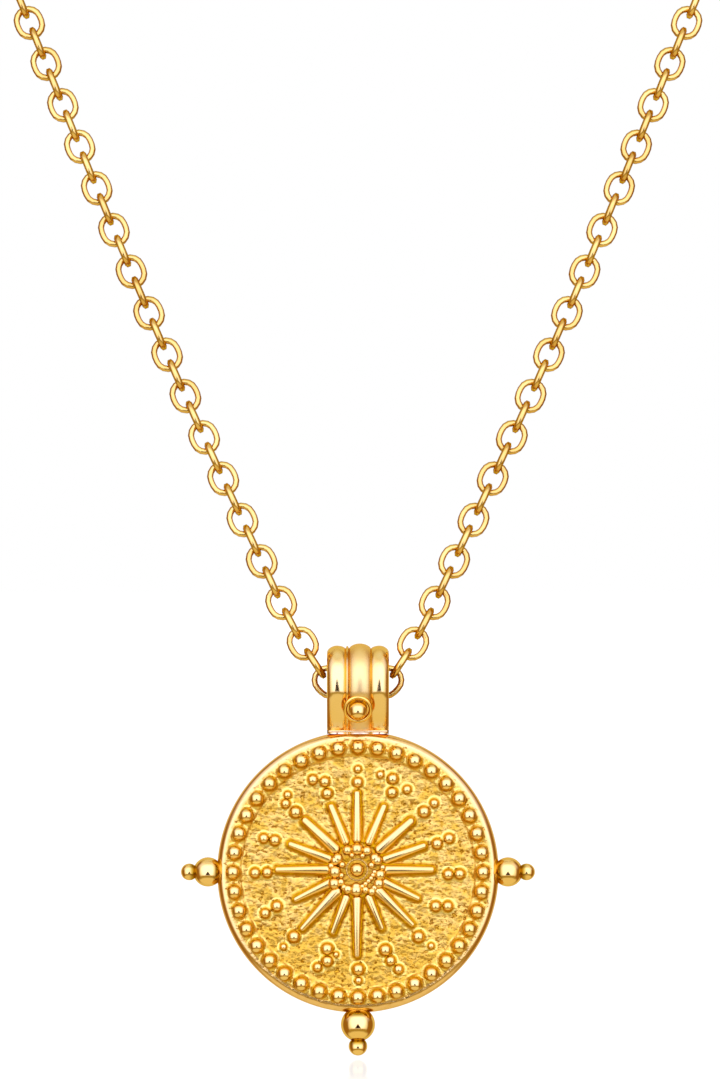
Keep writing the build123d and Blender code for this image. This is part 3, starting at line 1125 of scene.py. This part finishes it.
    def nubs(self) -> Piece:
        """Build two balls in line at both sides and at the bottom of the rim.

        Returns:
            The nubs as one piece.
        """
        parts = []
        for name, angle, big, small in (
            ("right", 90, self.side_ball, self.side_tip),
            ("left", 270, self.side_ball, self.side_tip),
            ("bottom", 180, self.bottom_ball, self.bottom_tip),
        ):
            big_out = self.disc_radius + big - self.nub_sink
            small_out = big_out + big + small - self.tip_sink
            profile = [(r, big_out + h) for h, r in arc((0, 0), big, 180, 24, 22)]
            profile += [(r, small_out + h) for h, r in arc((0, 0), small, 142, 0, 16)]
            nub = turned(f"nub_{name}", profile, steps=40)
            joints = (self.disc_radius, big_out + big)
            feet = self.nub_painted_shade
            mark_painted_light(nub, lambda p: max(fall(abs(p.z - joint), *feet) for joint in joints))
            toward = around(angle, 1.0, 0.0)
            nub.data.transform(toward.to_track_quat("Z", "Y").to_matrix().to_4x4())
            parts.append(nub)
        made = joined("rim_nubs", parts)
        smooth(made, angle=50)
        return made


@dataclass
class Bail:
    """Ribbed loop over the disc, drawn as a section that is extruded and spun."""

    width: float = 4.84
    outer: float = 2.744
    inner: float = 1.944
    arch_height: float = 14.95
    crown: float = 0.40
    # The inner wall is picked by its distance from the arch's axis, up to this much over inner
    wall_reach: float = 0.05
    foot_level: float = 11.09
    foot_sink: float = 0.30
    foot_half: float = 0.56
    waist_radius: float = 4.40
    waist_turn: float = 13.5
    arch_steps: int = 60
    leg_steps: int = 8
    waist_steps: int = 4
    # Rib columns: left edge, right edge and crest in half widths, then lift in millimetres
    ribs: tuple[tuple[float, float, float, float], ...] = (
        (-1.0, -0.40, -0.68, 0.0), (-0.40, -0.29, -0.345, -0.02), (-0.29, 0.42, 0.06, 0.16),
        (0.42, 1.0, 0.70, 0.0),
    )
    rib_parts: int = 14
    fillet_parts: int = 4
    edge_drop: float = 0.46
    groove_drop: float = 0.22
    # Painted shade in the grooves, and how far above the foot the legs get a paler painted tone
    groove_shade: float = 0.40
    pale_reach: float = 0.75
    plate: tuple[float, float, float] = (4.60, 0.18, 1.56)
    plate_bevel: float = 0.085
    # Paler painted tone over the whole plate
    plate_painted_light: float = -0.6
    collar_height: float = 12.80
    collar_out: float = 1.98
    collar_tilt: float = 24.0
    collar_radius: float = 1.08
    collar_wire: float = 0.16
    collar_rise: float = 0.12
    # Painted light tone over the collar wire, a more saturated gold
    collar_painted_light: float = -0.8
    # Where a painted shade is full and where it ends: from a groove's line, and up the bead
    groove_band: tuple[float, float] = (0.02, 0.16)
    bead_painted_shade: tuple[float, float] = (-0.2, 0.25)
    # The dish's outline steps in from the collar's radius: at its lip, and where the lip ends
    dish_insets: tuple[float, float] = (0.08, 0.02)
    dish_height: float = 0.10
    dish_depth: float = 0.55
    # Painted light tone over the dish, a more saturated gold
    dish_painted_light: float = -0.6
    bead_radius: float = 0.73
    bead_lift: float = 0.38

    def rib_line(self) -> list[tuple[float, float]]:
        """Place across and lift of the ribbed face, from left to right.

        Returns:
            The corners of the face's outline.
        """
        line: list[tuple[float, float]] = []
        for left, right, crest, lift in self.ribs:
            left_drop = self.edge_drop if left == -1.0 else self.groove_drop
            right_drop = self.edge_drop if right == 1.0 else self.groove_drop
            parts = self.fillet_parts if lift < 0 else self.rib_parts
            for k in range(parts + 1):
                share = left + (right - left) * k / parts
                end, deepest = (left, left_drop) if share < crest else (right, right_drop)
                away = abs((share - crest) / (end - crest))
                round_off = 1 - math.sqrt(max(0.0, 1 - away**2))
                drop = (lift + deepest) * 0.5 * (away**2 + round_off)
                line.append((share * self.width / 2, lift - drop))
        return line

    def build(self) -> Piece:
        """Extrude and spin the ribbed section into the loop, and seat it on its plate.

        Returns:
            The bail on the bench.
        """
        half, low = self.width / 2, self.foot_level - self.foot_sink
        inside = self.foot_half - (self.outer - self.inner)
        section = [(x, low, self.foot_half + lift) for x, lift in self.rib_line()]
        section += [(half * share, low, inside) for share in (1.0, 0.5, 0.0, -0.5, -1.0)]
        waist_centre = (self.outer - self.waist_radius, self.arch_height)
        waist = arc(waist_centre, self.waist_radius, -self.waist_turn, 0, self.waist_steps)
        crease_out, crease = waist[0]
        lean = (crease_out - self.foot_half) / self.leg_steps
        climb = (crease - self.foot_level) / self.leg_steps
        rise = [(self.foot_sink, 0.0)] + [(climb, lean)] * self.leg_steps
        rise += [(b[1] - a[1], b[0] - a[0]) for a, b in zip(waist, waist[1:])]
        loop = traced("bail", section)
        edit(loop, bpy.ops.mesh.edge_face_add)
        start_clean(loop)
        bpy.ops.object.mode_set(mode="EDIT")
        bpy.ops.mesh.select_all(action="SELECT")
        for up, out in rise:
            bpy.ops.mesh.extrude_region_move(TRANSFORM_OT_translate={"value": (0.0, up, out)})
        bpy.ops.mesh.spin(
            steps=self.arch_steps, angle=math.pi, center=(0, self.arch_height, 0), axis=(1, 0, 0)
        )
        for up, out in reversed(rise):
            bpy.ops.mesh.extrude_region_move(TRANSFORM_OT_translate={"value": (0.0, -up, out)})
        bpy.ops.object.mode_set(mode="OBJECT")
        close_up(loop)
        self.thicken_crown(loop)
        grooves = [half * left for left, _, _, lift in self.ribs if left > -1.0 and lift >= 0.0]

        def nearness(p: Vector) -> float:
            """Paint shade into the grooves, and a paler tone where the legs and the plate mirror
            each other.

            Args:
                p: Place of a vertex.

            Returns:
                Over zero in the grooves, and less than zero towards the legs' ends.
            """
            near = max(fall(abs(p.x - line), *self.groove_band) for line in grooves)
            leg_end = fall(p.y - self.foot_level, 0.0, self.pale_reach)
            return self.groove_shade * near * (1 - leg_end) - leg_end

        mark_painted_light(loop, nearness)
        made = joined("bail", [loop, self.seat_plate()])
        smooth(made, angle=35)
        return made

    def thicken_crown(self, loop: Piece) -> None:
        """Lower the inner wall of the loop's arch, so that the crown is thicker than the walls.

        Args:
            loop: The bail's loop.
        """
        edit(
            loop,
            bpy.ops.transform.translate,
            lambda p: p.y >= self.arch_height - 1e-3
            and math.hypot(p.y - self.arch_height, p.z) < self.inner + self.wall_reach,
            value=(0.0, -self.crown, 0.0),
        )

    def seat_plate(self) -> Piece:
        """Make the thin plate between the bail's foot and the rim.

        Returns:
            The plate.
        """
        start_clean()
        middle = self.foot_level - self.plate[1] / 2
        bpy.ops.mesh.primitive_cube_add(size=1, location=(0, middle, 0))
        bpy.context.object.scale = self.plate
        bpy.ops.object.transform_apply(location=True, rotation=True, scale=True)
        plate = named("seat_plate")
        edit(plate, bpy.ops.mesh.bevel, offset=self.plate_bevel, segments=4, affect="EDGES")
        mark_painted_light(plate, lambda p: self.plate_painted_light)
        return plate

    def bead(self) -> Piece:
        """Make the bead in its wire collar, on the front leg.

        Returns:
            The collar, its dish and the bead as one piece.
        """
        bend = self.collar_radius - self.collar_wire / 2
        collar = torus("collar_wire", bend, self.collar_wire, steps=72, wire_steps=16)
        collar.data.transform(Matrix.Translation((0, 0, self.collar_rise)))
        mark_painted_light(collar, lambda p: self.collar_painted_light)
        radius, height, depth = self.collar_radius, self.dish_height, self.dish_depth
        lip, lip_end = (radius - inset for inset in self.dish_insets)
        outline = [(0.0, height), (lip, height), (lip_end, 0.0)]
        dish = turned("collar_cup", outline + [(radius, -depth), (0.0, -depth)], steps=72)
        mark_painted_light(dish, lambda p: self.dish_painted_light)
        pattern = ball("bail_bead_pattern", segments=40, rings=24)
        mark_painted_light(pattern, lambda p: fall(p.z, *self.bead_painted_shade))
        bead = gathered("bail_bead_ball", pattern, [at(0, 0, self.bead_lift, self.bead_radius)])
        made = joined("bail_bead", [collar, dish, bead])
        tilt = Matrix.Rotation(math.radians(self.collar_tilt), 4, "X")
        made.data.transform(Matrix.Translation((0, self.collar_height, self.collar_out)) @ tilt)
        smooth(made, angle=50)
        return made


@dataclass
class Chain:
    """Loose oval links of round wire, each in the place of its CAD link."""

    length: float = 2.84
    width: float = 2.43
    wire: float = 0.54
    bend_steps: int = 8
    wire_sides: int = 6

    def pattern(self) -> Piece:
        """Bend one link with its length along X, lying in XY.

        Returns:
            The link at the origin.
        """
        bend = (self.width - self.wire) / 2
        straight = self.length - self.width
        half_step = 180 / self.wire_sides
        wire = arc((bend, 0.0), self.wire / 2, half_step, 360 + half_step, self.wire_sides)
        link = traced("link_pattern", [(0.0, out, up) for out, up in wire])
        half_turn = {"angle": math.pi, "center": ORIGIN, "axis": (0, 0, 1)}
        edit(link, bpy.ops.mesh.spin, steps=self.bend_steps, **half_turn)
        close_up(link)
        edit(link, bpy.ops.transform.translate, value=(straight / 2, 0, 0))
        edit(
            link,
            bpy.ops.mesh.extrude_region_move,
            lambda p: p.x < straight / 2 + 1e-3,
            TRANSFORM_OT_translate={"value": (-straight / 2, 0, 0)},
        )
        mirror = link.modifiers.new("other_end", "MIRROR")
        mirror.use_clip = True
        mirror.merge_threshold = 1e-3
        start_clean(link)
        bpy.ops.object.modifier_apply(modifier=mirror.name)
        close_up(link)
        return link

    def build(self) -> Piece:
        """Copy the link to every place of the CAD chain.

        Returns:
            The chain as one piece, in millimetres in the row frame.
        """
        places = solid_places(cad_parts["chain"])
        LOG.info("links placed: %d", len(places))
        made = gathered("chain_links", self.pattern(), places)
        smooth(made, angle=80)
        return made


def solid_places(node: Piece) -> list[Matrix]:
    """Read where each loose solid of a CAD node lies and how it is turned.

    Args:
        node: The CAD node of the chain or of a ring.

    Returns:
        For each solid the place of a pattern that has its length along X and lies in XY, in
        millimetres.
    """
    mesh = node.data
    co = vertex_places(mesh) / MM
    mesh.calc_loop_triangles()
    tri = np.empty(len(mesh.loop_triangles) * 3, dtype=np.int64)
    mesh.loop_triangles.foreach_get("vertices", tri)
    # Corners in the same place carry one label, and labels spread over the triangles
    _, same = np.unique(np.round(co, 4), axis=0, return_inverse=True)
    corners = same.ravel()[tri].reshape(-1, 3)
    label = np.arange(corners.max() + 1)
    while True:
        lowest = label[corners].min(axis=1)
        fresh = label.copy()
        for side in range(3):
            np.minimum.at(fresh, corners[:, side], lowest)
        fresh = fresh[fresh]
        if np.array_equal(fresh, label):
            break
        label = fresh
    solid = label[corners[:, 0]]
    points = co[tri].reshape(-1, 3, 3)
    middle = points.mean(axis=1)
    across = np.cross(points[:, 1] - points[:, 0], points[:, 2] - points[:, 0])
    area = np.linalg.norm(across, axis=1)
    places = []
    for one in np.unique(solid):
        own = solid == one
        weight = area[own] / area[own].sum()
        centre = weight @ middle[own]
        arm = middle[own] - centre
        _, axes = np.linalg.eigh((arm * weight[:, None]).T @ arm)
        along, flat = Vector(axes[:, 2]), Vector(axes[:, 0])
        turn = Matrix((along, flat.cross(along), flat)).transposed()
        places.append(Matrix.Translation(Vector(centre)) @ turn.to_4x4())
    return places


@dataclass
class Fastener:
    """End rings and the spring-ring clasp at the nape."""

    ring_bend: float = 1.35
    ring_wire: float = 0.50
    hoop_bend: float = 2.30
    hoop_wire: float = 1.10
    eye_bend: float = 0.90
    eye_wire: float = 0.50
    sleeve_wall: float = 0.17
    sleeve_length: float = 1.80
    sleeve_bevel: float = 0.1
    knob_angle: float = 50.0
    # The knob's outline: radius and height of each corner
    knob: tuple[tuple[float, float], ...] = (
        (0.0, -0.30), (0.22, -0.30), (0.22, 0.02), (0.40, 0.08), (0.40, 0.24), (0.30, 0.30),
        (0.0, 0.30),
    )

    def ring(self, name: str, node: str) -> Piece:
        """Bend an end ring in the place of its CAD node.

        Args:
            name: Name of the piece.
            node: CAD node that it stands for.

        Returns:
            The ring in millimetres in the row frame.
        """
        made = torus(name, self.ring_bend, self.ring_wire / 2, steps=48, wire_steps=16)
        made.data.transform(solid_places(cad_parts[node])[0])
        smooth(made, angle=60)
        return made

    def clasp(self) -> Piece:
        """Build the spring-ring clasp in one plain piece, as its CAD node lies.

        Returns:
            The clasp in millimetres in the row frame.
        """
        low, high = (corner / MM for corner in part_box("clasp"))
        hoop_x = high.x - self.hoop_bend - self.hoop_wire / 2
        eye_x = low.x + self.eye_bend + self.eye_wire / 2
        wire = self.hoop_wire / 2
        hoop = torus("clasp_hoop", self.hoop_bend, wire, steps=72, wire_steps=20)
        hoop.data.transform(Matrix.Translation((hoop_x, 0, 0)) @ UPRIGHT)
        eye = torus("clasp_eye", self.eye_bend, self.eye_wire / 2, steps=48, wire_steps=14)
        eye.data.transform(Matrix.Translation((eye_x, 0, 0)) @ UPRIGHT)
        radius, half = wire + self.sleeve_wall, self.sleeve_length / 2
        inner, level = radius - self.sleeve_bevel, half - self.sleeve_bevel
        lower = [(0.0, -half), (inner, -half), (radius, -level)]
        upper = [(radius, level), (inner, half), (0.0, half)]
        sleeve = turned("clasp_sleeve", lower + upper, steps=40)
        sleeve.data.transform(Matrix.Translation((hoop_x - self.hoop_bend, 0, 0)))
        turn, knob_out = math.radians(self.knob_angle), self.hoop_bend + wire
        knob = turned("clasp_knob", list(self.knob), steps=32)
        foot = Vector((hoop_x + knob_out * math.cos(turn), 0, knob_out * math.sin(turn)))
        lean = Matrix.Rotation(math.radians(90 - self.knob_angle), 4, "Y")
        knob.data.transform(Matrix.Translation(foot) @ lean)
        made = joined("spring_ring_clasp", [hoop, eye, sleeve, knob])
        smooth(made, angle=40)
        return made


class Bearing(Enum):
    """Measure of the direction in which the metal looks."""

    HEIGHT = "degrees over the horizon"
    ASIDE = "degrees to either side"
    AWAY = "degrees from the way to the viewer"
    WINDOW = "distance from the window's middle, in its half widths"
    STAND = "degrees outside the edge of the camera stand"


@dataclass(frozen=True)
class Zone:
    """Part of the room that the metal mirrors: its light, and where it lies.

    Each band holds a measure, its value where the zone's share starts to rise, and its value where
    the share is full.
    """

    light: Colour
    bands: tuple[tuple[Bearing, float, float], ...]


WINGS = Zone((0.36, 0.19, 0.05, 1.0), (
    (Bearing.AWAY, 62.0, 76.0), (Bearing.AWAY, 132.0, 112.0),
    (Bearing.HEIGHT, 66.0, 44.0), (Bearing.HEIGHT, -62.0, -40.0),
))
CEILING = Zone((0.92, 1.02, 1.75, 1.0), ((Bearing.HEIGHT, 62.0, 84.0),))
TABLE = Zone((0.93, 0.88, 0.92, 1.0), (
    (Bearing.HEIGHT, -36.0, -52.0), (Bearing.AWAY, 120.0, 100.0),
))
TABLE_EDGE = Zone((0.46, 0.36, 0.14, 1.0), (
    (Bearing.HEIGHT, -22.0, -30.0), (Bearing.HEIGHT, -50.0, -38.0),
    (Bearing.ASIDE, 60.0, 44.0), (Bearing.AWAY, 90.0, 80.0),
))
WINDOW = Zone((1.80, 2.10, 5.4, 1.0), (
    (Bearing.WINDOW, 1.34, 0.62), (Bearing.HEIGHT, -31.0, -18.0), (Bearing.AWAY, 104.0, 84.0),
))
STAND = Zone((0.03, 0.012, 0.0, 1.0), (
    (Bearing.STAND, 1.6, -1.2), (Bearing.HEIGHT, 7.0, 3.0), (Bearing.HEIGHT, -27.0, -21.0),
    (Bearing.AWAY, 80.0, 60.0),
))


@dataclass
class Studio:
    """Floor, light and camera."""

    floor_drop: float = 0.00002
    floor_size: float = 12.0
    floor_glow: float = 1.15
    # The floor mirrors the nub faintly, and only near its foot
    gloss_end: float = 0.050
    gloss_core: float = 1 / 3
    gloss_share: float = 0.36
    gloss_power: float = 4.0
    gloss_colour: Colour = (1.0, 1.0, 0.9, 1.0)
    gloss_roughness: float = 0.08
    backdrop: Colour = (0.86, 0.86, 1.05, 1.0)
    zones: tuple[Zone, ...] = (WINGS, CEILING, TABLE, TABLE_EDGE, WINDOW, STAND)
    # The window's middle height and its reach over, under and to the sides of it, in degrees
    window_middle: float = 14.0
    window_over: float = 48.0
    window_under: float = 56.0
    window_wide: float = 58.0
    # The stand's half width at the horizon, in degrees, and how it widens for each degree down
    stand_half: float = 4.6
    stand_spread: float = -0.64
    softbox_size: tuple[float, float] = (0.70, 0.50)
    softbox_colour: tuple[float, float, float] = (0.75, 0.85, 1.0)
    softbox_power: float = 0.15
    softbox_place: tuple[float, float, float] = (0.0, -0.55, 0.35)
    softbox_aim: tuple[float, float, float] = (0.0, -0.104, -0.13)
    camera_distance: float = 0.7
    picture_height: float = 0.0843
    picture_centre: tuple[float, float] = (0.00016, -0.10948)
    sensor: float = 36.0

    def build(self) -> None:
        """Make the floor, the surroundings, the softbox and the camera."""
        self.floor()
        self.surroundings()
        self.softbox()
        self.camera()
        bpy.context.scene.view_settings.view_transform = "Standard"

    def floor(self) -> None:
        """Pale gloss floor just under the lowest nub."""
        start_clean()
        level = CAD_LOW.z - self.floor_drop
        bpy.ops.mesh.primitive_plane_add(size=self.floor_size, location=(0, 0, level))
        floor = named("floor")
        floor.visible_glossy = False
        material = bpy.data.materials.new("pale_gloss_floor")
        material.use_nodes = True
        material.node_tree.nodes.clear()
        sketch = Sketch(material.node_tree)
        white = sketch.add("ShaderNodeEmission", {"Strength": self.floor_glow})
        shine = {"Roughness": self.gloss_roughness, "Color": self.gloss_colour}
        gloss = sketch.add("ShaderNodeBsdfGlossy", shine)
        place = sketch.add("ShaderNodeTexCoord").outputs["Object"]
        ends = {0: place, 1: (0.0, HINGE.y * MM, 0.0)}
        reach = sketch.add("ShaderNodeVectorMath", ends, operation="DISTANCE").outputs["Value"]
        near = sketch.step(reach, self.gloss_end, self.gloss_end * self.gloss_core)
        facing = sketch.add("ShaderNodeLayerWeight").outputs["Facing"]
        sheen = sketch.times(sketch.math("POWER", facing, self.gloss_power), self.gloss_share)
        layers = {0: sketch.times(near, sheen), 1: white.outputs[0], 2: gloss.outputs[0]}
        mixed = sketch.add("ShaderNodeMixShader", layers).outputs[0]
        sketch.add("ShaderNodeOutputMaterial", {"Surface": mixed})
        floor.data.materials.append(material)

    def surroundings(self) -> None:
        """White room as the metal sees it: a broad soft light above the viewer and dim sides."""
        world = bpy.data.worlds.new("white_studio")
        bpy.context.scene.world = world
        world.use_nodes = True
        world.node_tree.nodes.clear()
        sketch = Sketch(world.node_tree)
        bearings = self.bearings(sketch)
        light: object = self.backdrop
        for zone in self.zones:
            steps = [sketch.step(bearings[which], low, high) for which, low, high in zone.bands]
            light = sketch.blend(sketch.times(*steps), light, zone.light)
        seen = sketch.add("ShaderNodeLightPath").outputs["Is Camera Ray"]
        colour = sketch.blend(seen, light, (1.0, 1.0, 1.0, 1.0))
        glow = sketch.add("ShaderNodeBackground", {"Color": colour}).outputs[0]
        sketch.add("ShaderNodeOutputWorld", {"Surface": glow})

    def bearings(self, sketch: Sketch) -> dict[Bearing, Socket]:
        """Measure the direction in which the metal looks.

        Args:
            sketch: Sketch of the world's tree.

        Returns:
            The socket of each measure.
        """
        ray = sketch.add("ShaderNodeTexCoord").outputs["Generated"]
        side, depth, up = sketch.add("ShaderNodeSeparateXYZ", {0: ray}).outputs

        def degrees(operation: str, share: Socket) -> Socket:
            """Angle in degrees whose sine or cosine is the share."""
            return sketch.times(sketch.math(operation, share), 180 / math.pi)

        height = degrees("ARCSINE", up)
        aside = degrees("ARCSINE", sketch.math("ABSOLUTE", side))
        over = sketch.math("MAXIMUM", sketch.math("SUBTRACT", height, self.window_middle), 0.0)
        under = sketch.math("MAXIMUM", sketch.math("SUBTRACT", self.window_middle, height), 0.0)
        spans = ((over, self.window_over), (under, self.window_under), (aside, self.window_wide))
        shares = [sketch.math("DIVIDE", span, reach) for span, reach in spans]
        high, low, wide = (sketch.times(share, share) for share in shares)
        square = sketch.math("ADD", sketch.math("ADD", high, low), wide)
        edge = sketch.math("MULTIPLY_ADD", height, self.stand_spread, self.stand_half)
        return {
            Bearing.HEIGHT: height,
            Bearing.ASIDE: aside,
            Bearing.AWAY: degrees("ARCCOSINE", sketch.times(depth, -1.0)),
            Bearing.WINDOW: sketch.math("SQRT", square),
            Bearing.STAND: sketch.math("SUBTRACT", aside, edge),
        }

    def softbox(self) -> None:
        """Overhead softbox that gives the beads their glints."""
        data = bpy.data.lights.new("overhead_softbox", "AREA")
        data.shape = "ELLIPSE"
        data.size, data.size_y = self.softbox_size
        data.color = self.softbox_colour
        data.energy = self.softbox_power
        light = bpy.data.objects.new("overhead_softbox", data)
        bpy.context.collection.objects.link(light)
        light.location = self.softbox_place
        aim = Vector(self.softbox_aim) - light.location
        light.rotation_euler = aim.to_track_quat("-Z", "Y").to_euler()
        light.visible_camera = False

    def camera(self) -> None:
        """Level camera with a long lens, square to the medallion's face."""
        data = bpy.data.cameras.new("camera")
        data.sensor_width = self.sensor
        data.lens = self.sensor * self.camera_distance / self.picture_height
        data.clip_start, data.clip_end = 0.01, 50.0
        camera = bpy.data.objects.new("camera", data)
        bpy.context.collection.objects.link(camera)
        x, z = self.picture_centre
        camera.location = (x, HINGE.y * MM - self.camera_distance, z)
        camera.rotation_euler = (math.radians(90), 0.0, 0.0)
        bpy.context.scene.camera = camera


def main() -> None:
    """Build every piece in order and report it."""
    logging.basicConfig(level=logging.INFO, format="%(name)s %(message)s")
    tone, polish = tone_group(), polish_group()
    finishes = Finishes()
    polished = finishes.polished.material(tone, polish)
    rays = finishes.rays.material(tone, polish)
    field = finishes.field.material(dint_group(), polish)
    brushed = finishes.brushed.material(tone, polish)
    wire = finishes.wire.material(tone, polish)
    plain = finishes.plain.material(tone, polish)

    relief = Relief()
    ornament = Relievos(relief)
    bail = Bail()
    cast = [
        (Disc(relief).build(), field),
        (ornament.beads("border_beads", relief.border_balls(), segments=24, rings=14), polished),
        (ornament.star(), rays),
        (ornament.rosette(), polished),
        (ornament.beads("granules", relief.granule_balls(), segments=20, rings=12), polished),
        (ornament.nubs(), polished),
        (bail.build(), brushed),
        (bail.bead(), polished),
    ]
    for piece, material in cast:
        finish_piece(piece, BENCH_TO_ROW, material, Body.PENDANT, Slot.CAST, "medallion")

    fastener = Fastener()
    worn = [
        (Chain().build(), wire, Slot.CHAIN, "chain"),
        (fastener.ring("end_ring_left", "jump_ring_left"), wire, Slot.CHAIN, "jump_ring_left"),
        (fastener.ring("end_ring_right", "jump_ring_right"), wire, Slot.CHAIN, "jump_ring_right"),
        (fastener.clasp(), plain, Slot.CLASP, "clasp"),
    ]
    for piece, material, slot, node in worn:
        finish_piece(piece, NAPE_TO_ROW, material, Body.NECKLACE, slot, node)

    Studio().build()


if __name__ == "__main__":
    main()
